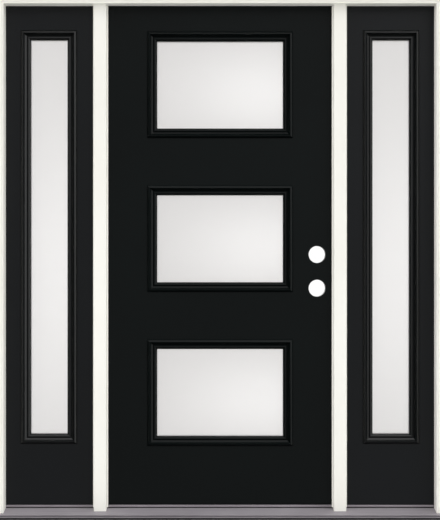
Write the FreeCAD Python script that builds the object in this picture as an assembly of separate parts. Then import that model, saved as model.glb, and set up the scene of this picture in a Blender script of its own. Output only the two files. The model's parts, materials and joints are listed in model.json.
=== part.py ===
import FreeCAD, Part
import math
import os

# Front entry unit: an inward opening leaf between two fixed sidelights, in one frame on a metal sill.
# Millimetres. Outside is towards -Y, right is +X seen from outside, Z rises from the sill's underside.

Vec = FreeCAD.Vector
MITRED = 1

# Frame
UNIT_HEIGHT = 2074.0
JAMB_DEPTH = 116.0
JAMB_THICKNESS = 32.0
POST_WIDTH = 60.0
POST_SETBACK = 58.0
TRIM_THICKNESS = 12.0
TRIM_BEAD = 5.0
TRIM_BEAD_RADIUS = 2.0
TRIM_QUIRK = 1.5
TRIM_COVE = 14.0
TRIM_COVE_RISE = 8.0
TRIM_COVE_SAG = 2.0
COVER_WIDTH = 50.0
COVER_THICKNESS = 33.0
COVER_CHAMFER = 2.5
STOP_LAP = 12.5

# Openings between the stops
DOOR_SIGHT_WIDTH = 894.0
SIDELIGHT_SIGHT_WIDTH = 350.0

# Leaf and sidelight panels
PANEL_THICKNESS = 44.5
SKIN_THICKNESS = 2.0
LOCK_EDGE_BEVEL = 2.3

# Clearances
EDGE_GAP = 5.0
PANEL_GAP = 1.5
STOP_TO_LEAF = 6.5
SEAL_GAP = 1.0
PIN_GAP = 0.08
KNUCKLE_GAP = 0.4

# Sill
SILL_NOSE = 23.0
NOSE_BOTTOM = 8.7
NOSE_TOP = 14.6
NOSE_GROOVE_DEPTH = 12.0
NOSE_LIP = 1.6
DECK_FRONT_TOP = 20.0
DECK_BACK_TOP = 33.0
DECK_THICKNESS = 2.2
NOSE_WEB = 2.5
BASE_SETBACK = 7.0
CAP_BACK_STEP = 5.0
CAP_BOTTOM = 38.0
CAP_TOP = 45.5
CAP_NOSE_RADIUS = 2.0

# Weather seals
SEAL_WIDTH = 10.0
SEAL_SHOW = 3.0
BEDDING_BEAD = 4.0
SWEEP_DEPTH = 32.0
SWEEP_BACK = 1.6
SWEEP_FINS = 3
SWEEP_FIN = 3.0

# Lites
DOOR_LITE_WIDTH = 505.0
LEAF_TOP_RAIL = 147.5
LEAF_MIDDLE_RAIL = 267.5
LEAF_BOTTOM_RAIL = 269.5
SIDE_LITE_WIDTH = 147.0
SIDE_LITE_OFFSET = 2.8
SIDE_TOP_RAIL = 146.0
SIDE_BOTTOM_RAIL = 283.5
GLASS_THICKNESS = 25.4
GLASS_LAP = 12.0
CUTOUT_GAP = 2.0

# Lite frame moulding, measured from its outer edge and up from the skin
MOULD_WIDTH = 39.0
MOULD_EDGE = 2.5
MOULD_RIDGE_START = 9.5
MOULD_RIDGE_END = 11.0
MOULD_RIDGE_HEIGHT = 11.0
MOULD_CROWN_SAG = 1.5
MOULD_COVE_END = 23.0
MOULD_COVE_DROP = 2.5
MOULD_COVE_SAG = 2.0
MOULD_BEAD_START = 24.0
MOULD_BEAD_END = 35.5
MOULD_BEAD_RISE = 3.6
MOULD_LIP_DROP = 6.5
MOULD_LEG = 24.0

# Lock preparation
LOCK_BORE = 68.0
LOCK_BACKSET = 65.5
DEADBOLT_Z = 1048.0
LATCH_Z = 913.0
EDGE_BORE = 25.4
STRIKE_HOLE_DEPTH = 18.0

# Hinges
HINGE_HEIGHT = 102.0
HINGE_LEAF_WIDTH = 30.0
HINGE_LEAF_THICKNESS = 2.5
HINGE_AXIS_PROUD = 7.5
BARREL_RADIUS = 6.5
PIN_RADIUS = 3.5
PIN_HEAD_RADIUS = 5.5
PIN_HEAD_HEIGHT = 4.0
KNUCKLES = 5
TOP_HINGE_DROP = 178.0
BOTTOM_HINGE_RISE = 279.0

# Places across the unit
door_half = DOOR_SIGHT_WIDTH / 2
post_outer = door_half + POST_WIDTH
side_inner = post_outer + SIDELIGHT_SIGHT_WIDTH
unit_half = side_inner + JAMB_THICKNESS
door_rabbet = door_half + STOP_LAP
side_rabbet_in = post_outer - STOP_LAP
side_rabbet_out = side_inner + STOP_LAP
leaf_half = door_rabbet - EDGE_GAP
side_lite_x = (post_outer + side_inner) / 2 + SIDE_LITE_OFFSET

# Places through the depth
back = JAMB_DEPTH / 2
front = -back
jamb_front = front + TRIM_THICKNESS
panel_front = back - PANEL_THICKNESS
door_shoulder = panel_front - STOP_TO_LEAF
post_front = front + POST_SETBACK
nose_front = front - SILL_NOSE
panel_mid = (panel_front + back) / 2
cap_front = door_shoulder
step_y = cap_front + CAP_BACK_STEP

# Places up the unit
head_sight = UNIT_HEIGHT - JAMB_THICKNESS
head_rabbet = head_sight + STOP_LAP
leaf_top = head_rabbet - EDGE_GAP
leaf_bottom = CAP_TOP + EDGE_GAP
deck_slope = (DECK_BACK_TOP - DECK_FRONT_TOP) / (cap_front - nose_front)

# Hinge axis and lock line
hinge_x = -(leaf_half + EDGE_GAP / 2)
hinge_y = back + HINGE_AXIS_PROUD
lock_x = leaf_half - LOCK_BACKSET
top_hinge_z = leaf_top - TOP_HINGE_DROP - HINGE_HEIGHT / 2
bottom_hinge_z = leaf_bottom + BOTTOM_HINGE_RISE + HINGE_HEIGHT / 2
HINGE_PLACES = {
    "top": top_hinge_z,
    "middle": (top_hinge_z + bottom_hinge_z) / 2,
    "bottom": bottom_hinge_z,
}

# Reach of a cut-out past the sight line, clear of the legs of the lite frames
cutout_lap = MOULD_LEG + CUTOUT_GAP

# Lites share what the rails leave of the leaf's height
rails_height = LEAF_TOP_RAIL + 2 * LEAF_MIDDLE_RAIL + LEAF_BOTTOM_RAIL
door_lite_height = (leaf_top - leaf_bottom - rails_height) / 3
bottom_lite_z = leaf_bottom + LEAF_BOTTOM_RAIL + door_lite_height / 2
lite_pitch = door_lite_height + LEAF_MIDDLE_RAIL
LITE_PLACES = {
    "top": bottom_lite_z + 2 * lite_pitch,
    "middle": bottom_lite_z + lite_pitch,
    "bottom": bottom_lite_z,
}

# Sidelight panels, drawn on the right
side_x0 = side_rabbet_in + PANEL_GAP
side_x1 = side_rabbet_out - PANEL_GAP
side_top = head_rabbet - PANEL_GAP
side_sight_low = CAP_TOP + SIDE_BOTTOM_RAIL
side_sight_high = side_top - SIDE_TOP_RAIL
SIDE_LITE = (
    side_lite_x,
    (side_sight_low + side_sight_high) / 2,
    SIDE_LITE_WIDTH,
    side_sight_high - side_sight_low,
)


def deck_top(y):
    return DECK_FRONT_TOP + deck_slope * (y - nose_front)


def box(x0, x1, y0, y1, z0, z1):
    return Part.makeBox(x1 - x0, y1 - y0, z1 - z0, Vec(x0, y0, z0))


def prism(points, push):
    """Push a closed outline of points along a vector."""
    return Part.Face(Part.makePolygon(points + points[:1])).extrude(push)


def outline(at, start, steps):
    """Closed wire of steps: straight to an end point, or round through a middle point to an end."""
    edges = []
    here = at(*start)
    for *way, end in steps:
        there = at(*end)
        edge = Part.Arc(here, at(*way[0]), there) if way else Part.LineSegment(here, there)
        edges.append(edge.toShape())
        here = there
    return Part.Wire(edges)


def arc_middle(start, end, sag):
    """Middle of an arc that lies off its chord by a sag, to the left going from start to end."""
    run_u = end[0] - start[0]
    run_v = end[1] - start[1]
    off = sag / math.hypot(run_u, run_v)
    return ((start[0] + end[0]) / 2 - run_v * off, (start[1] + end[1]) / 2 + run_u * off)


def corner_middle(corner, radius, turn_u, turn_v):
    """Point half way round a quarter circle that rounds a square corner."""
    inset = radius * (1 - math.sin(math.pi / 4))
    return (corner[0] + turn_u * inset, corner[1] + turn_v * inset)


def upright(points, z0, z1):
    """Raise a closed outline of (x, y) points."""
    return prism([Vec(x, y, z0) for x, y in points], Vec(0, 0, z1 - z0))


def crosswise(points, x0, x1):
    """Run a closed outline of (y, z) points from x0 to x1."""
    return prism([Vec(x0, y, z) for y, z in points], Vec(x1 - x0, 0, 0))


def left_hand(shape):
    return shape.mirror(Vec(0, 0, 0), Vec(1, 0, 0))


def save(name, *solids):
    shape = solids[0] if len(solids) == 1 else Part.makeCompound(list(solids))
    shape.exportStep(f"parts/{name}.step")
    print(f"{name}: {len(shape.Solids)} solids, {shape.Volume / 1000:.1f} cm3, valid {shape.isValid()}")


# Frame members
def sill_room():
    """Everything below the sill's top faces, for cutting the feet that stand on it."""
    reach = JAMB_DEPTH
    profile = [
        (front - reach, -reach),
        (back + reach, -reach),
        (back + reach, CAP_BOTTOM),
        (step_y, CAP_BOTTOM),
        (step_y, deck_top(step_y)),
        (front - reach, deck_top(front - reach)),
    ]
    return crosswise(profile, -unit_half - reach, unit_half + reach)


def side_jamb():
    plan = [
        (side_inner, jamb_front),
        (unit_half, jamb_front),
        (unit_half, back),
        (side_rabbet_out, back),
        (side_rabbet_out, panel_front),
        (side_inner, panel_front),
    ]
    return upright(plan, 0, head_sight).cut(sill_room())


def trim_section(at):
    """Section of the face trim: a bead by the opening, a quirk, and a cove up to a thick outer edge."""
    radius = TRIM_BEAD_RADIUS
    quirk = (TRIM_BEAD, TRIM_QUIRK)
    cove_end = (TRIM_BEAD + TRIM_COVE, -TRIM_COVE_RISE)
    steps = [
        [(0, radius)],
        [corner_middle((0, 0), radius, 1, 1), (radius, 0)],
        [(TRIM_BEAD, 0)],
        [quirk],
        [arc_middle(quirk, cove_end, TRIM_COVE_SAG), cove_end],
        [(JAMB_THICKNESS, -TRIM_COVE_RISE)],
        [(JAMB_THICKNESS, TRIM_THICKNESS)],
        [(0, TRIM_THICKNESS)],
    ]
    return Part.Face(outline(at, (0, TRIM_THICKNESS), steps))


def mitre_wedge(*corners):
    """Triangle of (x, z) corners, cut through the trim's depth."""
    points = [Vec(x, front - TRIM_COVE_RISE, z) for x, z in corners]
    return prism(points, Vec(0, TRIM_COVE_RISE + TRIM_THICKNESS, 0))


def side_trim():
    section = trim_section(lambda u, v: Vec(side_inner + u, front + v, 0))
    strip = section.extrude(Vec(0, 0, UNIT_HEIGHT)).cut(sill_room())
    above = mitre_wedge((side_inner, head_sight), (unit_half, UNIT_HEIGHT), (side_inner, UNIT_HEIGHT))
    return strip.cut(above)


def head_trim():
    section = trim_section(lambda u, v: Vec(-unit_half, front + v, head_sight + u))
    strip = section.extrude(Vec(2 * unit_half, 0, 0))
    beside = mitre_wedge((side_inner, head_sight), (unit_half, UNIT_HEIGHT), (unit_half, head_sight))
    return strip.cut(beside).cut(left_hand(beside))


def post():
    """Post that stands on the sill's step, with its front overhanging the deck."""
    plan = [
        (door_half, post_front),
        (post_outer, post_front),
        (post_outer, panel_front),
        (side_rabbet_in, panel_front),
        (side_rabbet_in, back),
        (door_rabbet, back),
        (door_rabbet, door_shoulder),
        (door_half, door_shoulder),
    ]
    return upright(plan, CAP_BOTTOM, head_sight)


def post_cover():
    x0 = (door_half + post_outer - COVER_WIDTH) / 2
    x1 = x0 + COVER_WIDTH
    face = post_front - COVER_THICKNESS
    plan = [
        (x0, post_front),
        (x0, face + COVER_CHAMFER),
        (x0 + COVER_CHAMFER, face),
        (x1 - COVER_CHAMFER, face),
        (x1, face + COVER_CHAMFER),
        (x1, post_front),
    ]
    return upright(plan, 0, head_sight).cut(sill_room())


def head_jamb():
    beam = box(-unit_half, unit_half, jamb_front, back, head_sight, UNIT_HEIGHT)
    door_step = box(-door_rabbet, door_rabbet, door_shoulder, back, head_sight, head_rabbet)
    side_step = box(side_rabbet_in, side_rabbet_out, panel_front, back, head_sight, head_rabbet)
    return beam.cut(door_step).cut(side_step).cut(left_hand(side_step))


def strike_holes():
    """Holes in the strike post for the bolt and the latch."""
    places = [Vec(door_rabbet, panel_mid, z) for z in (DEADBOLT_Z, LATCH_Z)]
    return [Part.makeCylinder(EDGE_BORE / 2, STRIKE_HOLE_DEPTH, place, Vec(1, 0, 0)) for place in places]


# Sill
def sill_substrate():
    """Base under the deck, with a foot that reaches out below the nose."""
    web_back = nose_front + NOSE_GROOVE_DEPTH + NOSE_WEB
    foot = nose_front + BASE_SETBACK
    profile = [
        (foot, 0),
        (back, 0),
        (back, CAP_BOTTOM),
        (step_y, CAP_BOTTOM),
        (step_y, deck_top(step_y) - DECK_THICKNESS),
        (web_back, deck_top(web_back) - DECK_THICKNESS),
        (web_back, NOSE_BOTTOM),
        (foot, NOSE_BOTTOM),
    ]
    return crosswise(profile, -unit_half, unit_half)


def sill_deck():
    """Metal deck: half round front lip, a groove, and a half round nose below it."""
    web_front = nose_front + NOSE_GROOVE_DEPTH
    web_back = web_front + NOSE_WEB
    lip_top = (nose_front + NOSE_LIP / 2, deck_top(nose_front + NOSE_LIP / 2))
    lip_bottom = (lip_top[0], lip_top[1] - NOSE_LIP)
    lip_front = (nose_front, lip_top[1] - NOSE_LIP / 2)
    nose_radius = (NOSE_TOP - NOSE_BOTTOM) / 2
    steps = [
        [lip_top],
        [lip_front, lip_bottom],
        [(web_front, lip_bottom[1])],
        [(web_front, NOSE_TOP)],
        [(nose_front + nose_radius, NOSE_TOP)],
        [(nose_front, NOSE_BOTTOM + nose_radius), (nose_front + nose_radius, NOSE_BOTTOM)],
        [(web_back, NOSE_BOTTOM)],
        [(web_back, deck_top(web_back) - DECK_THICKNESS)],
        [(step_y, deck_top(step_y) - DECK_THICKNESS)],
        [(step_y, deck_top(step_y))],
    ]
    section = outline(lambda y, z: Vec(-unit_half, y, z), (step_y, deck_top(step_y)), steps)
    return Part.Face(section).extrude(Vec(2 * unit_half, 0, 0))


def sill_cap(x0, x1):
    """Cap between two rabbets, with a rounded top front edge."""
    radius = CAP_NOSE_RADIUS
    steps = [
        [(back, CAP_BOTTOM)],
        [(back, CAP_TOP)],
        [(cap_front + radius, CAP_TOP)],
        [corner_middle((cap_front, CAP_TOP), radius, 1, -1), (cap_front, CAP_TOP - radius)],
        [(cap_front, CAP_BOTTOM)],
    ]
    section = outline(lambda y, z: Vec(x0, y, z), (cap_front, CAP_BOTTOM), steps)
    return Part.Face(section).extrude(Vec(x1 - x0, 0, 0))


def sidelight_cap():
    """Cap under a sidelight: narrow between the stops, wide between the rabbets behind them."""
    bar = sill_cap(side_rabbet_in, side_rabbet_out)
    stop_in = box(side_rabbet_in, post_outer, cap_front, panel_front, CAP_BOTTOM, CAP_TOP)
    stop_out = box(side_inner, side_rabbet_out, cap_front, panel_front, CAP_BOTTOM, CAP_TOP)
    return bar.cut(stop_in).cut(stop_out)


# Weather seals
def seal_section(at):
    """Section of a door seal: flat on the stop's shoulder, with a round nose that shows past the stop."""
    depth = STOP_TO_LEAF - SEAL_GAP
    steps = [
        [(SEAL_WIDTH, 0)],
        [(SEAL_WIDTH, depth)],
        [(0, depth)],
        [(-SEAL_SHOW, depth / 2), (0, 0)],
    ]
    return Part.Face(outline(at, (0, 0), steps))


def side_seal():
    section = seal_section(lambda u, v: Vec(door_half + u, door_shoulder + v, CAP_TOP))
    return section.extrude(Vec(0, 0, head_sight - SEAL_SHOW - CAP_TOP))


def head_seal():
    half = door_half + SEAL_WIDTH
    section = seal_section(lambda u, v: Vec(-half, door_shoulder + v, head_sight + u))
    return section.extrude(Vec(2 * half, 0, 0))


def bedding_bead():
    """Three sided bead of sealant in the corner between a sidelight panel and the stops round it."""
    path = Part.makePolygon([
        Vec(post_outer, panel_front, CAP_TOP),
        Vec(post_outer, panel_front, head_sight),
        Vec(side_inner, panel_front, head_sight),
        Vec(side_inner, panel_front, CAP_TOP),
    ])
    corner = Vec(post_outer, panel_front, CAP_TOP)
    legs = [corner, corner + Vec(BEDDING_BEAD, 0, 0), corner - Vec(0, BEDDING_BEAD, 0), corner]
    return path.makePipeShell([Part.makePolygon(legs)], True, False, MITRED)


def door_sweep():
    """Strip under the leaf with fins that end just above the cap."""
    x0 = -leaf_half
    x1 = leaf_half - LOCK_EDGE_BEVEL
    y0 = panel_mid - SWEEP_DEPTH / 2
    strip = box(x0, x1, y0, y0 + SWEEP_DEPTH, leaf_bottom - SWEEP_BACK, leaf_bottom)
    step = (SWEEP_DEPTH - SWEEP_FIN) / (SWEEP_FINS - 1)
    for index in range(SWEEP_FINS):
        y = y0 + index * step
        fin = box(x0, x1, y, y + SWEEP_FIN, CAP_TOP + SEAL_GAP, leaf_bottom - SWEEP_BACK)
        strip = strip.fuse(fin)
    return strip.removeSplitter()


# Lites
def mould_section(at, glass_depth):
    """Section of a lite frame: outer slope, ridge, cove into the cut-out, bead, and a leg on the glass."""
    edge = (0, MOULD_EDGE)
    ridge_start = (MOULD_RIDGE_START, MOULD_RIDGE_HEIGHT)
    ridge_end = (MOULD_RIDGE_END, MOULD_RIDGE_HEIGHT)
    cove_end = (MOULD_COVE_END, -MOULD_COVE_DROP)
    bead_start = (MOULD_BEAD_START, -MOULD_COVE_DROP)
    bead_end = (MOULD_BEAD_END, -MOULD_COVE_DROP)
    steps = [
        [edge],
        [arc_middle(edge, ridge_start, MOULD_CROWN_SAG), ridge_start],
        [ridge_end],
        [arc_middle(ridge_end, cove_end, -MOULD_COVE_SAG), cove_end],
        [bead_start],
        [arc_middle(bead_start, bead_end, MOULD_BEAD_RISE), bead_end],
        [(MOULD_WIDTH, -MOULD_LIP_DROP)],
        [(MOULD_WIDTH, -glass_depth)],
        [(MOULD_WIDTH - MOULD_LEG, -glass_depth)],
        [(MOULD_WIDTH - MOULD_LEG, 0)],
        [(0, 0)],
    ]
    return outline(at, (0, 0), steps)


def lite_frame(x, z, sight_width, sight_height, face_y, outward):
    """Moulded ring round a lite: the section swept round the outer edge with mitred corners."""
    half_w = sight_width / 2 + MOULD_WIDTH
    half_h = sight_height / 2 + MOULD_WIDTH
    corners = [
        Vec(x, face_y, z - half_h),
        Vec(x + half_w, face_y, z - half_h),
        Vec(x + half_w, face_y, z + half_h),
        Vec(x - half_w, face_y, z + half_h),
        Vec(x - half_w, face_y, z - half_h),
        Vec(x, face_y, z - half_h),
    ]
    path = Part.makePolygon(corners)
    glass_depth = (PANEL_THICKNESS - GLASS_THICKNESS) / 2
    section = mould_section(lambda u, v: corners[0] + Vec(0, outward * v, u), glass_depth)
    return path.makePipeShell([section], True, False, MITRED).removeSplitter()


def lite_glass(x, z, sight_width, sight_height):
    half_w = sight_width / 2 + GLASS_LAP
    half_h = sight_height / 2 + GLASS_LAP
    y0 = panel_mid - GLASS_THICKNESS / 2
    return box(x - half_w, x + half_w, y0, y0 + GLASS_THICKNESS, z - half_h, z + half_h)


def lite_cutout(x, z, sight_width, sight_height):
    half_w = sight_width / 2 + cutout_lap
    half_h = sight_height / 2 + cutout_lap
    return box(x - half_w, x + half_w, panel_front, back, z - half_h, z + half_h)


# Leaf
def leaf_slab(y0, y1):
    """Slice of the leaf between two depths, with its bevelled lock edge."""
    def lock_edge(y):
        return leaf_half - LOCK_EDGE_BEVEL * (back - y) / PANEL_THICKNESS

    plan = [(-leaf_half, y0), (lock_edge(y0), y0), (lock_edge(y1), y1), (-leaf_half, y1)]
    return upright(plan, leaf_bottom, leaf_top)


def door_cutouts():
    return [lite_cutout(0, z, DOOR_LITE_WIDTH, door_lite_height) for z in LITE_PLACES.values()]


def lock_bores():
    """Cross bores through the leaf's faces."""
    depth = PANEL_THICKNESS
    return [
        Part.makeCylinder(LOCK_BORE / 2, depth, Vec(lock_x, panel_front, z), Vec(0, 1, 0))
        for z in (DEADBOLT_Z, LATCH_Z)
    ]


def edge_bores():
    """Bores from the lock edge into the cross bores."""
    return [
        Part.makeCylinder(EDGE_BORE / 2, LOCK_BACKSET, Vec(lock_x, panel_mid, z), Vec(1, 0, 0))
        for z in (DEADBOLT_Z, LATCH_Z)
    ]


def cut_all(shape, tools):
    for tool in tools:
        shape = shape.cut(tool)
    return shape


def leaf_skin(y0, y1):
    return cut_all(leaf_slab(y0, y1), door_cutouts() + lock_bores() + leaf_mortises())


def leaf_core(x0, x1, z0, z1):
    """Piece of the leaf's inner frame between the skins."""
    y0 = panel_front + SKIN_THICKNESS
    y1 = back - SKIN_THICKNESS
    return leaf_slab(y0, y1).common(box(x0, x1, y0, y1, z0, z1))


def leaf_stiles():
    inner = DOOR_LITE_WIDTH / 2 + cutout_lap
    hinge_stile = leaf_core(-leaf_half, -inner, leaf_bottom, leaf_top)
    lock_stile = leaf_core(inner, leaf_half, leaf_bottom, leaf_top)
    return cut_all(hinge_stile, leaf_mortises()), cut_all(lock_stile, lock_bores() + edge_bores())


def leaf_rails():
    """Rails above, between and below the lites."""
    inner = DOOR_LITE_WIDTH / 2 + cutout_lap
    reach = door_lite_height / 2 + cutout_lap
    stops = [leaf_bottom]
    for z in sorted(LITE_PLACES.values()):
        stops += [z - reach, z + reach]
    stops.append(leaf_top)
    pairs = zip(stops[0::2], stops[1::2])
    return [leaf_core(-inner, inner, low, high) for low, high in pairs]


# Sidelights
def sidelight_skin(y0):
    sheet = box(side_x0, side_x1, y0, y0 + SKIN_THICKNESS, CAP_TOP, side_top)
    return sheet.cut(lite_cutout(*SIDE_LITE))


def sidelight_core(x0, x1, z0, z1):
    return box(x0, x1, panel_front + SKIN_THICKNESS, back - SKIN_THICKNESS, z0, z1)


def sidelight_pieces():
    half_w = SIDE_LITE_WIDTH / 2 + cutout_lap
    x_in = side_lite_x - half_w
    x_out = side_lite_x + half_w
    return {
        "stiles": [
            sidelight_core(side_x0, x_in, CAP_TOP, side_top),
            sidelight_core(x_out, side_x1, CAP_TOP, side_top),
        ],
        "rails": [
            sidelight_core(x_in, x_out, CAP_TOP, side_sight_low - cutout_lap),
            sidelight_core(x_in, x_out, side_sight_high + cutout_lap, side_top),
        ],
        "exterior_skin": [sidelight_skin(panel_front)],
        "interior_skin": [sidelight_skin(back - SKIN_THICKNESS)],
        "exterior_lite_frame": [lite_frame(*SIDE_LITE, panel_front, -1)],
        "interior_lite_frame": [lite_frame(*SIDE_LITE, back, 1)],
        "glass": [lite_glass(*SIDE_LITE)],
        "bedding_bead": [bedding_bead()],
    }


# Hinges
def mortise(x0, z):
    """Shallow pocket for a hinge leaf, open on the inside face."""
    low = z - HINGE_HEIGHT / 2
    return box(x0, x0 + HINGE_LEAF_THICKNESS, back - HINGE_LEAF_WIDTH, back, low, low + HINGE_HEIGHT)


def post_mortises():
    return [mortise(-door_rabbet - HINGE_LEAF_THICKNESS, z) for z in HINGE_PLACES.values()]


def leaf_mortises():
    return [mortise(-leaf_half, z) for z in HINGE_PLACES.values()]


def hinge_leaf(plate, z, knuckle_numbers):
    """Flat leaf with its knuckles: each knuckle is a tube on a neck that leaves the plate."""
    room = plate.BoundBox
    pitch = HINGE_HEIGHT / KNUCKLES
    leaf = plate
    for number in knuckle_numbers:
        low = z - HINGE_HEIGHT / 2 + number * pitch
        high = low + pitch
        if number > 0:
            low += KNUCKLE_GAP / 2
        if number < KNUCKLES - 1:
            high -= KNUCKLE_GAP / 2
        tube = Part.makeCylinder(BARREL_RADIUS, high - low, Vec(hinge_x, hinge_y, low))
        neck = box(room.XMin, room.XMax, back, hinge_y, low, high)
        leaf = leaf.fuse(tube).fuse(neck)
    bore = Part.makeCylinder(PIN_RADIUS + PIN_GAP, HINGE_HEIGHT, Vec(hinge_x, hinge_y, z - HINGE_HEIGHT / 2))
    return leaf.cut(bore).removeSplitter()


def hinge_pin(z):
    shaft = Part.makeCylinder(PIN_RADIUS, HINGE_HEIGHT, Vec(hinge_x, hinge_y, z - HINGE_HEIGHT / 2))
    top = Vec(hinge_x, hinge_y, z + HINGE_HEIGHT / 2)
    head = Part.makeCone(PIN_HEAD_RADIUS, PIN_RADIUS, PIN_HEAD_HEIGHT, top)
    return shaft.fuse(head)


def save_frame():
    save("right_side_jamb", side_jamb())
    save("left_side_jamb", left_hand(side_jamb()))
    save("head_jamb", head_jamb())
    save("right_face_trim", side_trim())
    save("left_face_trim", left_hand(side_trim()))
    save("head_face_trim", head_trim())
    save("strike_post", cut_all(post(), strike_holes()))
    save("hinge_post", cut_all(left_hand(post()), post_mortises()))
    save("right_post_cover", post_cover())
    save("left_post_cover", left_hand(post_cover()))
    save("sill_substrate", sill_substrate())
    save("sill_deck", sill_deck())
    save("door_sill_cap", sill_cap(-door_rabbet, door_rabbet))
    save("right_sill_cap", sidelight_cap())
    save("left_sill_cap", left_hand(sidelight_cap()))
    save("strike_side_seal", side_seal())
    save("hinge_side_seal", left_hand(side_seal()))
    save("head_seal", head_seal())


def save_leaf():
    hinge_stile, lock_stile = leaf_stiles()
    save("leaf_hinge_stile", hinge_stile)
    save("leaf_lock_stile", lock_stile)
    save("leaf_rails", *leaf_rails())
    save("leaf_exterior_skin", leaf_skin(panel_front, panel_front + SKIN_THICKNESS))
    save("leaf_interior_skin", leaf_skin(back - SKIN_THICKNESS, back))
    save("door_sweep", door_sweep())
    for name, z in LITE_PLACES.items():
        place = (0, z, DOOR_LITE_WIDTH, door_lite_height)
        save(f"{name}_exterior_lite_frame", lite_frame(*place, panel_front, -1))
        save(f"{name}_interior_lite_frame", lite_frame(*place, back, 1))
        save(f"{name}_glass", lite_glass(*place))


def save_sidelights():
    for name, solids in sidelight_pieces().items():
        save(f"right_sidelight_{name}", *solids)
        save(f"left_sidelight_{name}", *[left_hand(solid) for solid in solids])


def save_hinges():
    last = KNUCKLES - 1
    for name, z in HINGE_PLACES.items():
        frame_plate = mortise(-door_rabbet - HINGE_LEAF_THICKNESS, z)
        door_plate = mortise(-leaf_half, z)
        save(f"{name}_hinge_frame_leaf", hinge_leaf(frame_plate, z, range(0, KNUCKLES, 2)))
        save(f"{name}_hinge_door_leaf", hinge_leaf(door_plate, z, range(1, last, 2)))
    save("hinge_pins", *[hinge_pin(z) for z in HINGE_PLACES.values()])


os.makedirs("parts", exist_ok=True)
save_frame()
save_leaf()
save_sidelights()
save_hinges()
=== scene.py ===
# %% [markdown]
# # A front door with sidelights
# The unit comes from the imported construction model: every piece is already at its real size and place, in
# metres, with the outside towards -Y. This lesson only dresses it. It eases the edges that a maker eases,
# sweeps the moulded lite frames more finely, adds the screws, gives every piece its finish, and lights it
# like a catalogue shot.

# %% Load the construction model
import json
import math

import bmesh
import bpy
from mathutils import Matrix, Vector

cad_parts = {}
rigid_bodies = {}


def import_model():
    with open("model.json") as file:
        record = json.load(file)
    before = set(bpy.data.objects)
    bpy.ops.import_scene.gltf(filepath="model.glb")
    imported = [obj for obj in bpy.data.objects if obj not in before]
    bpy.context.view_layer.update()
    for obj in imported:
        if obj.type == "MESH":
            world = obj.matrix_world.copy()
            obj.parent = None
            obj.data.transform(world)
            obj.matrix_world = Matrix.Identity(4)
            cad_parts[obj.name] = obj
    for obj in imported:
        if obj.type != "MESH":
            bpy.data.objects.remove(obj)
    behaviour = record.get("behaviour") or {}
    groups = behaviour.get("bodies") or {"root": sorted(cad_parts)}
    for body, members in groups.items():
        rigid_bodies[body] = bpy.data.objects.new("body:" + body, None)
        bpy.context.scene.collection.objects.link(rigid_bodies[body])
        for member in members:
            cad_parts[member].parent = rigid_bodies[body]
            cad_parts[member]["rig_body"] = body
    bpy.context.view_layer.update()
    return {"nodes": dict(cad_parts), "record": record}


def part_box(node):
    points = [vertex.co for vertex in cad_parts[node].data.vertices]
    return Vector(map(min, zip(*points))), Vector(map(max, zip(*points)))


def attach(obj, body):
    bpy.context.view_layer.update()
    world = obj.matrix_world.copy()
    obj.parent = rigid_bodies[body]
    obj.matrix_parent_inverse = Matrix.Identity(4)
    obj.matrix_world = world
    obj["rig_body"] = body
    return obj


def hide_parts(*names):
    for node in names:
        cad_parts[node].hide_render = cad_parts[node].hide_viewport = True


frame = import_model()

MM = 0.001
nodes = frame["nodes"]

# %% [markdown]
# ## Writing shaders as sums
# A finish is a small calculation done at every point of a surface. Wiring it by hand hides the sum in a
# drawing, so one class wraps a node's output and lets Python's own operators add the Math nodes.
# Everything that isn't plain arithmetic comes from its one `node` method: first the settings, then the
# values or links of the sockets.


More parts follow.
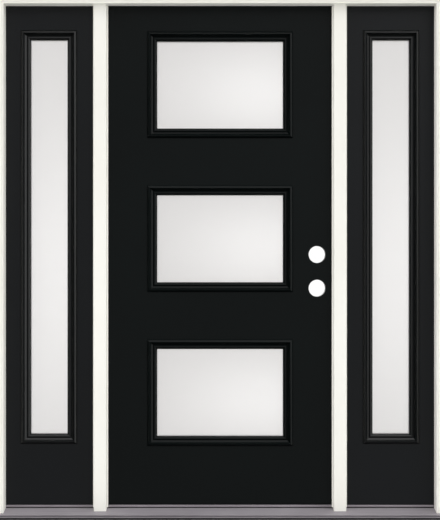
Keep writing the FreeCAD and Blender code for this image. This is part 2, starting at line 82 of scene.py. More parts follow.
# %% A socket that can be calculated with
class Flow:
    """One output of a shader node, with operators that add Math nodes. Without a socket it starts a tree."""

    def __init__(self, tree, socket=None):
        self.tree = tree
        self.socket = socket

    def plug(self, place, value):
        """Link a flow to an input, or set a plain value there."""
        if isinstance(value, Flow):
            self.tree.links.new(value.socket, place)
        else:
            place.default_value = value

    def node(self, kind, settings, sockets, output=0):
        """Add a node to the tree and give one of its outputs."""
        made = self.tree.nodes.new(kind)
        for name, value in settings.items():
            setattr(made, name, value)
        for name, value in sockets.items():
            self.plug(made.inputs[name], value)
        return Flow(self.tree, made.outputs[output])

    def maths(self, operation, first, second=0.0):
        return self.node("ShaderNodeMath", {"operation": operation}, {0: first, 1: second})

    def __add__(self, other):
        return self.maths("ADD", self, other)

    def __sub__(self, other):
        return self.maths("SUBTRACT", self, other)

    def __rsub__(self, other):
        return self.maths("SUBTRACT", other, self)

    def __mul__(self, other):
        return self.maths("MULTIPLY", self, other)

    def __truediv__(self, other):
        return self.maths("DIVIDE", self, other)

    def __rtruediv__(self, other):
        return self.maths("DIVIDE", other, self)

    def __pow__(self, other):
        return self.maths("POWER", self, other)

    def __rpow__(self, other):
        return self.maths("POWER", other, self)

    __radd__ = __add__
    __rmul__ = __mul__

    def fraction(self):
        return self.maths("FRACT", self)

    def larger(self, other):
        return self.maths("MAXIMUM", self, other)

    def between(self, low, high):
        """0 below low, 1 above high, and a soft ramp from one to the other."""
        settings = {"interpolation_type": "SMOOTHSTEP"}
        return self.node("ShaderNodeMapRange", settings, {"Value": self, "From Min": low, "From Max": high})

    def noise(self, scale, detail=2.0, stretch=(1.0, 1.0, 1.0)):
        """Cloudy noise on these coordinates, with so many features to the metre."""
        place = self.node("ShaderNodeMapping", {}, {"Vector": self, "Scale": stretch})
        return self.node("ShaderNodeTexNoise", {}, {"Vector": place, "Scale": scale, "Detail": detail})

    def blend(self, low_colour, high_colour):
        """Colour that goes from one to the other as this value goes from 0 to 1."""
        sockets = {"Factor": self, 6: (*low_colour, 1.0), 7: (*high_colour, 1.0)}
        return self.node("ShaderNodeMix", {"data_type": "RGBA"}, sockets, 2)

    def bump(self, strength, depth):
        """Normal of a surface that rises by depth, in metres, where this value is 1."""
        return self.node("ShaderNodeBump", {}, {"Height": self, "Strength": strength, "Distance": depth})


print("operators ready:", "+ - * / **")

# %% Start of a finish
SOME_DETAIL = 3.0
MUCH_DETAIL = 4.0
finishes = {}


def new_finish(name, **fixed):
    """Material with fixed shader values; gives the object's coordinates, the shader and the material."""
    material = bpy.data.materials.new(name)
    material.use_nodes = True
    shader = material.node_tree.nodes["Principled BSDF"]
    for socket, value in fixed.items():
        shader.inputs[socket.replace("_", " ")].default_value = value
    spot = Flow(material.node_tree).node("ShaderNodeTexCoord", {}, {}, "Object")
    return spot, shader, material


def axes(spot):
    """The three numbers of a point."""
    parts = spot.node("ShaderNodeSeparateXYZ", {}, {"Vector": spot}).socket.node.outputs
    return [Flow(spot.tree, part) for part in parts]


print("noise has", SOME_DETAIL, "octaves of detail, or", MUCH_DETAIL, "where it is fine")

# %% [markdown]
# ## Off-white paint
# Jambs, posts and trim are primed timber with a satin off-white coat. A brush leaves faint ridges along
# the grain, so the noise is stretched along each member: upright for jambs and posts, level for the head.

# %% Paint for the frame
WHITE = (0.925, 0.915, 0.86)
WHITE_SHADE = (0.90, 0.885, 0.825)
WHITE_CLOUDS = 2.5
WHITE_CLOUD_EDGES = (0.35, 0.7)
PAINT_ROUGHNESS = 0.36
PAINT_DULLER = 0.14
BRUSH_MARKS = 260.0
BRUSH_STRENGTH = 0.12
BRUSH_DEPTH = 0.3 * MM
BRUSHED_UPRIGHT = (1.0, 1.0, 0.03)
BRUSHED_LEVEL = (0.03, 1.0, 1.0)


def white_paint(name, brushed):
    """Off-white coat that was brushed along one axis."""
    spot, shader, material = new_finish(name, Specular_IOR_Level=0.4)
    cloud = spot.noise(WHITE_CLOUDS, SOME_DETAIL)
    brush = spot.noise(BRUSH_MARKS, SOME_DETAIL, brushed)
    spot.plug(shader.inputs["Base Color"], cloud.between(*WHITE_CLOUD_EDGES).blend(WHITE, WHITE_SHADE))
    spot.plug(shader.inputs["Roughness"], PAINT_ROUGHNESS + PAINT_DULLER * cloud)
    spot.plug(shader.inputs["Normal"], brush.bump(BRUSH_STRENGTH, BRUSH_DEPTH))
    return material


upright_white = white_paint("white_paint_upright", BRUSHED_UPRIGHT)
level_white = white_paint("white_paint_level", BRUSHED_LEVEL)
finishes["frame_white"] = upright_white
print("paints:", upright_white.name, level_white.name)

# %% [markdown]
# ## Satin black skins
# Leaf and sidelights have smooth moulded skins, sprayed black. Sprayed paint dries with orange peel, a
# ripple of a few millimetres that only shows where light grazes it, and its sheen varies in slow clouds.
# The sidelights came out of another batch, a shade lighter and bluer, and their lite frames kept more of
# the mould's gloss. The reflection is kept weak on the skins, because theirs is a low-sheen coat.

# %% Black for the leaf, the sidelights and the painted edges
LEAF_BLACK = (0.0012, 0.0024, 0.0024)
SIDELIGHT_BLACK = (0.0013, 0.0021, 0.0029)
MOULDED_BLACK = (0.0006, 0.0012, 0.0014)
EDGE_BLACK = (0.0040, 0.0040, 0.0038)
LEAF_SHEEN = 0.15
SIDELIGHT_SHEEN = 0.26
MOULDED_SHEEN = 0.42
BLACK_CLOUDS = 1.8
CLOUD_EDGES = (0.3, 0.7)
CLOUD_DARKER = 0.9
CLOUD_LIGHTER = 1.12
SATIN_ROUGHNESS = 0.30
SATIN_DULLER = 0.08
ORANGE_PEEL = 330.0
PEEL_STRENGTH = 0.10
PEEL_DEPTH = 0.25 * MM
UPRIGHT_GRAIN = (1.0, 1.0, 0.02)


def satin_black(name, colour, sheen, grain=None):
    """Sprayed black. A grain draws its ripple out along the wood under it."""
    spot, shader, material = new_finish(name, Specular_IOR_Level=sheen)
    cloud = spot.noise(BLACK_CLOUDS, MUCH_DETAIL)
    peel = spot.noise(ORANGE_PEEL, MUCH_DETAIL, grain) if grain else spot.noise(ORANGE_PEEL)
    darker = [part * CLOUD_DARKER for part in colour]
    lighter = [part * CLOUD_LIGHTER for part in colour]
    spot.plug(shader.inputs["Base Color"], cloud.between(*CLOUD_EDGES).blend(darker, lighter))
    spot.plug(shader.inputs["Roughness"], SATIN_ROUGHNESS + SATIN_DULLER * cloud)
    spot.plug(shader.inputs["Normal"], peel.bump(PEEL_STRENGTH, PEEL_DEPTH))
    return material


finishes["leaf_black"] = satin_black("leaf_black", LEAF_BLACK, LEAF_SHEEN)
finishes["sidelight_black"] = satin_black("sidelight_black", SIDELIGHT_BLACK, SIDELIGHT_SHEEN)
moulded_black = satin_black("moulded_black", MOULDED_BLACK, MOULDED_SHEEN)
finishes["panel_wood"] = satin_black("painted_edges", EDGE_BLACK, LEAF_SHEEN, UPRIGHT_GRAIN)
print("blacks:", [finishes[slot].name for slot in ("leaf_black", "sidelight_black", "panel_wood")])

# %% [markdown]
# ## Frosted glass
# Satin etched glass, with a bright patch of painted light in its colour: each pane is painted brightest
# right of its middle and a little low, and shades to a painted pale grey at the upper left. The painted
# light is one bell curve over the pane. Panes of a kind repeat at a fixed pitch, so the pattern wraps at
# that pitch and one finish serves them all.
# Where panes don't repeat, the pitch is simply longer than the unit.

# %% Etched glass
FROST_PAINTED_SHADE = (0.78, 0.765, 0.755)
FROST_PAINTED_LIGHT = (0.98, 0.965, 0.955)
# Painted light: a bright patch in a bell over each pane, painted into the glass colour, fading to painted
# shade.
PAINTED_GLOW_ACROSS = 0.86
PAINTED_GLOW_UP = 0.42
PAINTED_GLOW_FALL = math.exp(-1)
FROST_ROUGHNESS = 0.32
FROST_DULLER = 0.1
ETCHING = 1500.0
ETCH_TINT = 0.04
ETCH_STRENGTH = 0.15
ETCH_DEPTH = 0.05 * MM


def frosted_glass(name, first, across, up, reach):
    """Glass for panes like the first, repeated at those pitches, with painted light in a bell of that reach
    across and up.
    """
    spot, shader, material = new_finish(name, IOR=1.5, Transmission_Weight=0.9, Specular_IOR_Level=0.35)
    low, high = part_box(first)
    x, _, z = axes(spot)
    u = ((x - low.x) / across).fraction() * (across / (high.x - low.x))
    w = ((z - low.z) / up).fraction() * (up / (high.z - low.z))
    off_centre = ((u - PAINTED_GLOW_ACROSS) / reach[0]) ** 2 + ((w - PAINTED_GLOW_UP) / reach[1]) ** 2
    # The painted light: 1 at the bell's middle, falling off over the pane.
    painted_glow = PAINTED_GLOW_FALL ** off_centre
    etch = spot.noise(ETCHING)
    spot.plug(shader.inputs["Base Color"], (painted_glow + ETCH_TINT * (etch - 0.5)).blend(FROST_PAINTED_SHADE, FROST_PAINTED_LIGHT))
    spot.plug(shader.inputs["Roughness"], FROST_ROUGHNESS + FROST_DULLER * etch)
    spot.plug(shader.inputs["Normal"], etch.bump(ETCH_STRENGTH, ETCH_DEPTH))
    return material


print("glow falls to", round(PAINTED_GLOW_FALL, 2), "at its reach")

# %% Glass of the leaf and of the sidelights
LONE_ACROSS = 2.0
LONE_UP = 4.0
# How far the painted light reaches on the leaf's panes and on the sidelights'.
DOOR_PAINTED_GLOW_REACH = (0.65, 0.5)
SIDE_PAINTED_GLOW_REACH = (1.4, 0.42)
X_AXIS = 0
Z_AXIS = 2


def pitch(first, second, axis):
    """How far one pane is from the next like it."""
    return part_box(second)[0][axis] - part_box(first)[0][axis]


door_pitch = pitch("bottom_glass", "middle_glass", Z_AXIS)
side_pitch = pitch("left_sidelight_glass", "right_sidelight_glass", X_AXIS)
door_glass = frosted_glass("door_glass", "bottom_glass", LONE_ACROSS, door_pitch, DOOR_PAINTED_GLOW_REACH)
side_glass = frosted_glass("sidelight_glass", "left_sidelight_glass", side_pitch, LONE_UP, SIDE_PAINTED_GLOW_REACH)
finishes["frosted_glass"] = door_glass
print("pitch of the panes:", round(door_pitch, 3), "up the leaf,", round(side_pitch, 3), "across the unit")

# %% [markdown]
# ## Sill metal, composite, seals and hinges
# The sill is an anodised extrusion: drawn lines run its whole length, so the noise is stretched along X, and
# its low nose is painted darker, as painted shade. Its core is a dark speckled composite, the seals are dull
# black foam and rubber, and the hinges are brushed satin nickel. Apart from the painted shade on the nose,
# they differ only in shades, grain and gloss, so one function makes them all.

# %% A finish of two streaked shades
STREAK_SHARE = 0.65
PATCH_SHARE = 0.35
PATCHES = 6.0
STREAK_DULLER = 0.15
STREAK_STRENGTH = 0.15
# Painted shade: below these heights the deck's colour is painted darker, on its nose.
PAINTED_SHADE_LOW = 16.5 * MM
PAINTED_SHADE_TOP = 19.5 * MM
UNSHADED = (1.0, 1.0, 1.0)
NOSE_PAINTED_SHADE = (0.74, 0.74, 0.74)


def paint_nose_shade(spot, colour):
    """The colour, painted darker low on the sill, as painted shade."""
    painted_shade_mask = 1.0 - axes(spot)[Z_AXIS].between(PAINTED_SHADE_LOW, PAINTED_SHADE_TOP)
    sockets = {"Factor": 1.0, 6: colour, 7: painted_shade_mask.blend(UNSHADED, NOSE_PAINTED_SHADE)}
    return spot.node("ShaderNodeMix", {"data_type": "RGBA", "blend_type": "MULTIPLY"}, sockets, 2)


def streaked(name, shades, scale, stretch, roughness, depth, painted_nose_shade=False, **fixed):
    """Finish with two shades, mixed by stretched noise that also ripples the surface."""
    spot, shader, material = new_finish(name, **fixed)
    streak = spot.noise(scale, MUCH_DETAIL, stretch)
    share = STREAK_SHARE * streak + PATCH_SHARE * spot.noise(PATCHES, SOME_DETAIL)
    colour = share.between(*CLOUD_EDGES).blend(*shades)
    spot.plug(shader.inputs["Base Color"], paint_nose_shade(spot, colour) if painted_nose_shade else colour)
    spot.plug(shader.inputs["Roughness"], roughness + STREAK_DULLER * share)
    spot.plug(shader.inputs["Normal"], streak.bump(STREAK_STRENGTH, depth))
    return material


print("scuffed below", round(PAINTED_SHADE_TOP / MM, 1), "mm")

# %% Sill, seal and hinge finishes
DECK_SHADES = ((0.288, 0.266, 0.288), (0.384, 0.358, 0.384))
CAP_SHADES = ((0.238, 0.216, 0.234), (0.314, 0.287, 0.310))
COMPOSITE_SHADES = ((0.010, 0.010, 0.010), (0.022, 0.022, 0.022))
RUBBER_SHADES = ((0.008, 0.008, 0.008), (0.016, 0.016, 0.016))
NICKEL_SHADES = ((0.50, 0.48, 0.45), (0.62, 0.60, 0.57))
ANODISED = {"Metallic": 0.1, "Specular_IOR_Level": 0.15}
DULL = {"Specular_IOR_Level": 0.15}
BARE = {"Metallic": 1.0}
ALONG_SILL = (0.006, 1.0, 1.0)
ALONG_HINGE = (1.0, 1.0, 0.02)
EVERY_WAY = (1.0, 1.0, 1.0)
DRAWN_LINES = 420.0
COMPOSITE_SPECKS = 700.0
RUBBER_GRAIN = 900.0
NICKEL_BRUSHING = 900.0
DRAWN_DEPTH = 0.05 * MM
SPECK_DEPTH = 0.2 * MM
RUBBER_DEPTH = 0.1 * MM
BRUSHED_DEPTH = 0.02 * MM
ANODISED_ROUGHNESS = 0.50
DULL_ROUGHNESS = 0.62
NICKEL_ROUGHNESS = 0.24

# The deck takes the painted shade on its low nose.
finishes["sill_aluminium"] = streaked(
    "anodised_deck", DECK_SHADES, DRAWN_LINES, ALONG_SILL, ANODISED_ROUGHNESS, DRAWN_DEPTH, True, **ANODISED)
cap_metal = streaked(
    "anodised_cap", CAP_SHADES, DRAWN_LINES, ALONG_SILL, ANODISED_ROUGHNESS, DRAWN_DEPTH, **ANODISED)
finishes["sill_composite"] = streaked(
    "sill_composite", COMPOSITE_SHADES, COMPOSITE_SPECKS, EVERY_WAY, DULL_ROUGHNESS, SPECK_DEPTH, **DULL)
finishes["black_seal"] = streaked(
    "black_seal", RUBBER_SHADES, RUBBER_GRAIN, EVERY_WAY, DULL_ROUGHNESS, RUBBER_DEPTH, **DULL)
finishes["hinge_steel"] = streaked(
    "satin_nickel", NICKEL_SHADES, NICKEL_BRUSHING, ALONG_HINGE, NICKEL_ROUGHNESS, BRUSHED_DEPTH, **BARE)
print("finishes:", sorted(finishes))

# %% [markdown]
# ## Which finish goes where
# The record names a finish slot for each node. Most follow it as it stands. The head and its trim take
# the paint that is brushed level, the sidelights take their own glass and lite frame finish, and the sill
# caps a darker metal.

# %% Finish of a node
slots = {part["node"]: part["material_slot"] for part in frame["record"]["subparts"]}


def finish_of(node):
    """The material of a node, and of the piece that stands for it."""
    if node.startswith("head_") and slots[node] == "frame_white":
        return level_white
    if node.endswith("sidelight_glass"):
        return side_glass
    if node.endswith("sill_cap"):
        return cap_metal
    if "sidelight" in node and node.endswith("lite_frame"):
        return moulded_black
    return finishes[slots[node]]


for name, item in nodes.items():
    item.data.materials.clear()
    item.data.materials.append(finish_of(name))
print("dressed", len(nodes), "nodes")

# %% [markdown]
# ## From a bmesh to a piece
# Every new piece goes the same way: its normals are turned outwards, its gentle edges are shaded smooth
# and its sharp ones kept, and then it rides on the body of the node that it belongs to.

# %% Making a piece
SMOOTH_BELOW = math.radians(24)


def make_piece(name, shape, node, replace=True):
    """Object from a bmesh, riding with a node's body and taking its finish; also counts the open edges."""
    bmesh.ops.recalc_face_normals(shape, faces=shape.faces)
    open_edges = sum(not edge.is_manifold for edge in shape.edges)
    mesh = bpy.data.meshes.new(name)
    shape.to_mesh(mesh)
    shape.free()
    mesh.shade_smooth()
    mesh.set_sharp_from_angle(angle=SMOOTH_BELOW)
    mesh.materials.append(finish_of(node))
    piece = bpy.data.objects.new(name, mesh)
    bpy.context.scene.collection.objects.link(piece)
    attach(piece, nodes[node]["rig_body"])
    if replace:
        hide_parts(node)
    return piece, open_edges


print("pieces smooth below", round(math.degrees(SMOOTH_BELOW)), "degrees")

# %% [markdown]
# ## Eased edges
# No sawn, pressed or sprayed edge is a perfect corner: it is eased by a fraction of a millimetre to about
# two, and that thin line is what catches the light. A copy of each node is merged into clean faces first,
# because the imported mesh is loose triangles, and then only its sharp edges are bevelled. Smooth shading
# would bend the normals at the rim of a wide flat face, which shows as false streaks on satin black. So
# the normals are weighted by the area of the faces: the flats stay flat, and only the narrow eased edges
# turn.

# %% How far each edge is eased, in millimetres
HINGE_PLACES = ("top", "middle", "bottom")
HINGE_LEAF_EASE = 0.4
EASED = {
    "left_side_jamb": 1.5, "right_side_jamb": 1.5, "head_jamb": 1.5, "hinge_post": 1.5, "strike_post": 1.5,
    "left_post_cover": 0.8, "right_post_cover": 0.8,
    "left_face_trim": 0.6, "right_face_trim": 0.6, "head_face_trim": 0.6,
    "sill_deck": 0.3, "door_sill_cap": 0.5, "left_sill_cap": 0.5, "right_sill_cap": 0.5,
    "sill_substrate": 0.8,
    "hinge_side_seal": 0.8, "strike_side_seal": 0.8, "head_seal": 0.8, "door_sweep": 0.4,
    "leaf_exterior_skin": 0.5, "leaf_interior_skin": 0.5,
    "left_sidelight_exterior_skin": 0.5, "right_sidelight_exterior_skin": 0.5,
    "left_sidelight_interior_skin": 0.5, "right_sidelight_interior_skin": 0.5,
    "hinge_pins": 0.5,
}
for place in HINGE_PLACES:
    EASED[f"{place}_hinge_frame_leaf"] = HINGE_LEAF_EASE
    EASED[f"{place}_hinge_door_leaf"] = HINGE_LEAF_EASE
print("nodes to ease:", len(EASED))

# %% Ease the edges of the frame, skins, sill and hinges
SAME_PLACE = 0.01 * MM
FLAT_WITHIN = math.radians(0.5)
SHARP_ABOVE = math.radians(40)
ROUND_BELOW = math.radians(50)


def ease(node, width):
    """Piece that stands for a node, with its sharp edges rounded to a width in millimetres."""
    shape = bmesh.new()
    shape.from_mesh(nodes[node].data)
    bmesh.ops.remove_doubles(shape, verts=shape.verts, dist=SAME_PLACE)
    bmesh.ops.dissolve_limit(shape, angle_limit=FLAT_WITHIN, verts=shape.verts, edges=shape.edges)
    sharp = [edge for edge in shape.edges if edge.is_manifold and edge.calc_face_angle() > SHARP_ABOVE]
    bmesh.ops.bevel(shape, geom=sharp, offset=width * MM, affect="EDGES", segments=2, profile=0.5,
                    material=-1, clamp_overlap=True)
    piece, open_edges = make_piece(node + "_eased", shape, node)
    piece.data.set_sharp_from_angle(angle=ROUND_BELOW)
    weighted = piece.modifiers.new("flat_faces", "WEIGHTED_NORMAL")
    weighted.keep_sharp = True
    return piece, open_edges


for node, width in EASED.items():
    piece, open_edges = ease(node, width)
    print(piece.name, len(piece.data.polygons), "faces,", open_edges, "open edges")

# %% [markdown]
# ## Moulded lite frames
# A lite frame is a picture frame: one section runs round the pane and meets itself in mitres. It could be
# a swept curve, but a loop of four corners, extruded once for each step of the section, gives the mitres
# by itself: every step moves the corners in by the same amount on both axes. The round stretches get more
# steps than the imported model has, so that the light runs over them without facets. Places on the section
# are millimetres in from its outer edge, and heights are millimetres off the skin.

# %% An arc of the section
ARC_STEPS = 7


def arc(start, end, sag):
    """Points after start along an arc that lies off its chord by sag, to the left."""
    run = Vector(end) - Vector(start)
    half = run.length / 2
    radius = (half ** 2 + sag ** 2) / (2 * abs(sag))
    side = Vector((-run.y, run.x)).normalized() * (1 if sag > 0 else -1)
    centre = (Vector(start) + Vector(end)) / 2 + side * (abs(sag) - radius)
    turn = 2 * math.asin(half / radius) * (-1 if sag > 0 else 1)
    spoke = Vector(start) - centre
    steps = [Matrix.Rotation(turn * count / ARC_STEPS, 2) @ spoke for count in range(1, ARC_STEPS + 1)]
    return [tuple(centre + step) for step in steps]


print("steps of an arc:", ARC_STEPS)

# %% The section of a lite frame
FRAME_WIDTH = 39.0
EDGE_HEIGHT = 2.5
EDGE_EASE = 0.4
RIDGE_START = 9.5
RIDGE_END = 11.0
RIDGE_HEIGHT = 11.0
COVE_END = 23.0
BEAD_START = 24.0
BEAD_END = 35.5
VALLEY_HEIGHT = -2.5
LIP_HEIGHT = -6.5
CROWN_SAG = 1.5
COVE_SAG = 2.0
BEAD_RISE = 3.6

edge_top = (0.0, EDGE_HEIGHT)
ridge_start = (RIDGE_START, RIDGE_HEIGHT)
ridge_end = (RIDGE_END, RIDGE_HEIGHT)
cove_end = (COVE_END, VALLEY_HEIGHT)
bead_start = (BEAD_START, VALLEY_HEIGHT)
bead_end = (BEAD_END, VALLEY_HEIGHT)
section = [(EDGE_EASE, 0.0), (0.0, EDGE_EASE), edge_top]
section += arc(edge_top, ridge_start, CROWN_SAG) + [ridge_end]
section += arc(ridge_end, cove_end, -COVE_SAG) + [bead_start]
section += arc(bead_start, bead_end, BEAD_RISE)
section += [(FRAME_WIDTH - EDGE_EASE, LIP_HEIGHT + EDGE_EASE), (FRAME_WIDTH, LIP_HEIGHT)]
print("section points:", len(section))

# %% Sweep the section round each lite
LEG = 24.0


def pane_of(node):
    """The glass that a lite frame holds."""
    place = node.split("_")[0]
    return f"{place}_sidelight_glass" if "sidelight" in node else f"{place}_glass"


def lite_frame(node):
    """Piece that stands for a lite frame, with its leg down to the glass."""
    low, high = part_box(node)
    middle = (low + high) / 2
    half = (high - low) / 2
    glass_low, glass_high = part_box(pane_of(node))
    outside = middle.y < glass_low.y
    outward = -1 if outside else 1
    seat = glass_low.y if outside else glass_high.y
    crest = low.y if outside else high.y
    face = crest - outward * RIDGE_HEIGHT * MM
    depth = (face - seat) / MM * outward
    shape = bmesh.new()
    turned = Matrix.Translation((middle.x, 0.0, middle.z)) @ Matrix.Rotation(math.pi / 2, 4, "X")
    bmesh.ops.create_grid(shape, x_segments=1, y_segments=1, size=1.0, matrix=turned)
    bmesh.ops.delete(shape, geom=shape.faces[:], context="FACES_ONLY")

    def move(verts, u, v):
        for vert in verts:
            vert.co.x = middle.x + math.copysign(half.x - u * MM, vert.co.x - middle.x)
            vert.co.z = middle.z + math.copysign(half.z - u * MM, vert.co.z - middle.z)
            vert.co.y = face + outward * v * MM

    first = shape.edges[:]
    move(shape.verts, *section[0])
    loop = first
    back = [(FRAME_WIDTH, -depth), (FRAME_WIDTH - LEG, -depth), (FRAME_WIDTH - LEG, 0.0)]
    for u, v in section[1:] + back:
        made = bmesh.ops.extrude_edge_only(shape, edges=loop)["geom"]
        loop = [item for item in made if isinstance(item, bmesh.types.BMEdge)]
        move([item for item in made if isinstance(item, bmesh.types.BMVert)], u, v)
    bmesh.ops.bridge_loops(shape, edges=first + loop)
    return make_piece(node + "_moulded", shape, node)


for node in sorted(nodes):
    if node.endswith("lite_frame"):
        piece, open_edges = lite_frame(node)
        print(piece.name, len(piece.data.polygons), "faces,", open_edges, "open edges")

# %% [markdown]
# ## Screws
# Every hinge leaf is held by four screws, and the cap under the leaf by four more. They only show with
# the leaf open, but then they tell how it hangs. A head could be cut from a solid disc. It is quicker to
# start with a grid of three by three faces, because its middle and four arms already are the cross: a
# circle is bridged round it, the grid is raised for the domed head, and the cross is pushed back in. Each
# screw has stopped at another turn, a radian past the last.

# %% One screw head
HEAD_RADIUS = 4.0 * MM
HEAD_RISE = 0.8 * MM
CROSS_SPAN = 4.2 * MM
CROSS_DEPTH = 0.7 * MM
GRID_CELLS = 3


def add_screw(shape, place):
    """Add a screw head to a bmesh, its foot on the local XY plane of a place."""
    head = bmesh.new()
    made = bmesh.ops.create_grid(head, x_segments=GRID_CELLS, y_segments=GRID_CELLS, size=CROSS_SPAN / 2)
    bmesh.ops.translate(head, verts=made["verts"], vec=(0.0, 0.0, HEAD_RISE))
    bmesh.ops.create_circle(head, segments=4 * GRID_CELLS, radius=HEAD_RADIUS)
    bmesh.ops.bridge_loops(head, edges=[edge for edge in head.edges if not edge.is_manifold])
    arm = CROSS_SPAN / GRID_CELLS / 2
    middles = {face: face.calc_center_median() for face in head.faces if len(face.verts) == 4}
    cross = [
        face for face, spot in middles.items()
        if spot.z > HEAD_RISE - SAME_PLACE and min(abs(spot.x), abs(spot.y)) < arm
    ]
    pushed = bmesh.ops.extrude_face_region(head, geom=cross)["geom"]
    sunk = [item for item in pushed if isinstance(item, bmesh.types.BMVert)]
    bmesh.ops.translate(head, verts=sunk, vec=(0.0, 0.0, -CROSS_DEPTH))
    bmesh.ops.transform(head, matrix=place, verts=head.verts)
    mesh = bpy.data.meshes.new("screw_head")
    head.to_mesh(mesh)
    head.free()
    shape.from_mesh(mesh)
    bpy.data.meshes.remove(mesh)


print("screw head", 2 * HEAD_RADIUS / MM, "mm across")

# %% Screws in the hinges and in the cap
HINGE_GAP = 5.0 * MM
SCREW_ROWS = (-38.0 * MM, -13.0 * MM, 13.0 * MM, 38.0 * MM)
SCREW_COLUMNS = (9.0 * MM, 20.0 * MM)
CAP_SCREWS_ACROSS = (-0.39, -0.13, 0.13, 0.39)
CAP_SCREW_SETBACK = 6.0 * MM
leaf_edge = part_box("leaf_exterior_skin")[0].x


def hinge_screws(name, part, plane, facing):
    """Screws of one kind of hinge leaf, on an upright plane that faces along X."""
    shape = bmesh.new()
    for place in HINGE_PLACES:
        low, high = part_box(f"{place}_{part}")
        for count, row in enumerate(SCREW_ROWS):
            spot = (plane, low.y + SCREW_COLUMNS[count % 2], (low.z + high.z) / 2 + row)
            turned = Matrix.Rotation(facing * math.pi / 2, 4, "Y") @ Matrix.Rotation(count, 4, "Z")
            add_screw(shape, Matrix.Translation(spot) @ turned)
    return make_piece(name, shape, f"top_{part}", replace=False)[0]


def cap_screws():
    """Screws in a row along the front of the cap, of the hinges' metal."""
    shape = bmesh.new()
    low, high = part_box("door_sill_cap")
    for count, across in enumerate(CAP_SCREWS_ACROSS):
        spot = (across, low.y + CAP_SCREW_SETBACK, high.z)
        add_screw(shape, Matrix.Translation(spot) @ Matrix.Rotation(count, 4, "Z"))
    return make_piece("cap_screws", shape, "hinge_pins", replace=False)[0]


screws = [
    hinge_screws("frame_leaf_screws", "hinge_frame_leaf", leaf_edge - HINGE_GAP, 1),
    hinge_screws("door_leaf_screws", "hinge_door_leaf", leaf_edge, -1),
    cap_screws(),
]
print("screws:", [(piece.name, len(piece.data.polygons)) for piece in screws])

# %% [markdown]
# ## Floor, light and background
# A pale floor carries the shadow. Satin black shows mostly what it mirrors, so light and reflections are
# set apart. Four wide, far lamps light the paint and the metal: one from each side, one from above and
# one from behind. What glossy surfaces mirror is painted in the world by direction: a dim card in front,
# a bright one high at the right and one overhead, in a dark room with white paper behind. The camera, and
# the light that comes through the frosted glass, see plain white all round.

# %% Floor
FLOOR_SIZE = 7.0
FLOOR_PALE = (0.97, 0.97, 0.96)
FLOOR_DARKER = 0.97
FLOOR_CLOUDS = 0.8


def pale_floor():
    """Matt pale floor that looks plain white through the frosted glass, as the backdrop does."""
    spot, shader, material = new_finish("pale_floor", Roughness=0.7, Specular_IOR_Level=0.2)
    tree = material.node_tree
    darker = [part * FLOOR_DARKER for part in FLOOR_PALE]
    cloud = spot.noise(FLOOR_CLOUDS, SOME_DETAIL)
    spot.plug(shader.inputs["Base Color"], cloud.blend(darker, FLOOR_PALE))
    through_glass = spot.node("ShaderNodeLightPath", {}, {}, "Is Transmission Ray")
    white = spot.node("ShaderNodeEmission", {}, {"Strength": 1.0})
    matt = Flow(tree, shader.outputs["BSDF"])
    seen = spot.node("ShaderNodeMixShader", {}, {0: through_glass, 1: matt, 2: white})
    spot.plug(tree.nodes["Material Output"].inputs["Surface"], seen)
    return material


floor_shape = bmesh.new()
bmesh.ops.create_grid(floor_shape, x_segments=1, y_segments=1, size=FLOOR_SIZE)
floor_mesh = bpy.data.meshes.new("floor")
floor_shape.to_mesh(floor_mesh)
floor_shape.free()
floor_mesh.materials.append(pale_floor())
floor = bpy.data.objects.new("floor", floor_mesh)
floor.visible_glossy = False
bpy.context.scene.collection.objects.link(floor)
print("floor", 2 * FLOOR_SIZE, "m square")

# %% Cards that the glossy surfaces mirror
DARK_ROOM = 0.03
BEHIND = (0.0, 1.0, 0.0)
PAPER_EDGES = (-0.1, 0.6)
FRONT_CARD = 0.52
FRONT_CARD_FROM = (0.0, -1.0, 0.0)
FRONT_CARD_EDGES = (0.75, 0.92)
SIDE_CARD = 1.8
SIDE_CARD_FROM = (0.75, -0.25, 0.60)
SIDE_CARD_EDGES = (0.48, 0.66)
TOP_CARD = 1.5
TOP_CARD_FROM = (0.0, -0.60, 0.80)
TOP_CARD_EDGES = (0.80, 0.93)
world = bpy.data.worlds.new("studio")
bpy.context.scene.world = world
world.use_nodes = True
sky = Flow(world.node_tree)
direction = sky.node("ShaderNodeTexCoord", {}, {}, "Generated")


def card(way, edges):
    """1 where the sky lies along a way, and 0 past the card's soft edges."""
    sockets = {0: direction, 1: way}
    return sky.node("ShaderNodeVectorMath", {"operation": "DOT_PRODUCT"}, sockets, "Value").between(*edges)


paper = card(BEHIND, PAPER_EDGES)
front_card = FRONT_CARD * card(FRONT_CARD_FROM, FRONT_CARD_EDGES)
side_card = SIDE_CARD * card(SIDE_CARD_FROM, SIDE_CARD_EDGES)
top_card = TOP_CARD * card(TOP_CARD_FROM, TOP_CARD_EDGES)
mirrored = DARK_ROOM + paper + front_card + side_card.larger(top_card)
print("cards:", FRONT_CARD, "in front,", SIDE_CARD, "at the side,", TOP_CARD, "overhead")

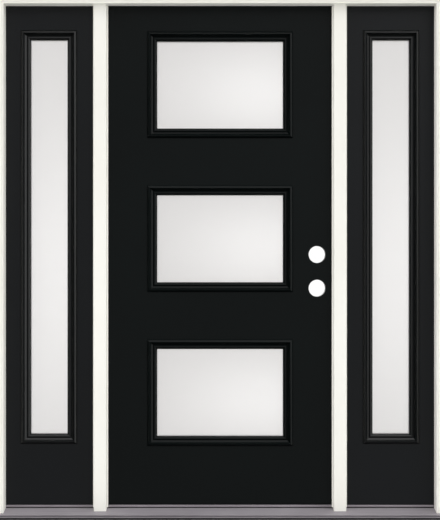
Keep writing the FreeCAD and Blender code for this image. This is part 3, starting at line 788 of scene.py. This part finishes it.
# %% World
AMBIENT = 0.30
WHITE_LIGHT = (1.0, 1.0, 1.0, 1.0)
by_camera, by_gloss, by_glass = [
    sky.node("ShaderNodeLightPath", {}, {}, f"Is {ray} Ray") for ray in ("Camera", "Glossy", "Transmission")
]
direct = by_camera.larger(by_glass)
strength = direct + (1.0 - direct) * (by_gloss * mirrored + (1.0 - by_gloss) * AMBIENT)
background = world.node_tree.nodes["Background"]
sky.plug(background.inputs["Color"], WHITE_LIGHT)
sky.plug(background.inputs["Strength"], strength)
print("ambient light", AMBIENT)

# %% Lamps
SOFTNESS = math.radians(45)
LAMPS = {
    "left_lamp": ((-0.87, -0.42, 0.26), 1.4),
    "right_lamp": ((0.87, -0.42, 0.26), 1.4),
    "top_lamp": ((0.10, -0.40, 0.91), 1.0),
    "back_lamp": ((-0.40, 0.75, 0.55), 1.2),
}


def far_lamp(name, from_side, level):
    """Lamp so far off that it lights top and bottom alike, as wide as a large softbox."""
    lamp = bpy.data.lights.new(name, "SUN")
    lamp.angle = SOFTNESS
    lamp.energy = level
    item = bpy.data.objects.new(name, lamp)
    item.visible_glossy = False
    item.visible_transmission = False
    item.rotation_euler = (-Vector(from_side)).to_track_quat("-Z", "Y").to_euler()
    bpy.context.scene.collection.objects.link(item)
    return item


lamps = [far_lamp(name, *setting) for name, setting in LAMPS.items()]
print("lamps:", [(item.name, item.data.energy) for item in lamps])

# %% [markdown]
# ## Camera
# The photograph looks straight at the door from a person's chest height, about six metres off, with no
# tilt: the posts stay parallel and only the reveals open towards the edges. The lens follows from how
# many pixels of the picture one metre covers at that distance. The picture is taller than wide, so the
# sensor lies along its height.

# %% Camera
IMAGE_HEIGHT = 520
FOCAL_PIXELS = 1466.25
SENSOR = 36.0
VIEW_POINT = (0.0, -5.858, 1.026)
LEVEL = (math.pi / 2, 0.0, 0.0)
camera = bpy.data.objects.new("camera", bpy.data.cameras.new("camera"))
camera.data.sensor_width = SENSOR
camera.data.lens = SENSOR * FOCAL_PIXELS / IMAGE_HEIGHT
camera.location = VIEW_POINT
camera.rotation_euler = LEVEL
bpy.context.scene.collection.objects.link(camera)
bpy.context.scene.camera = camera
bpy.context.scene.view_settings.view_transform = "Standard"
print("lens", round(camera.data.lens, 1), "mm")
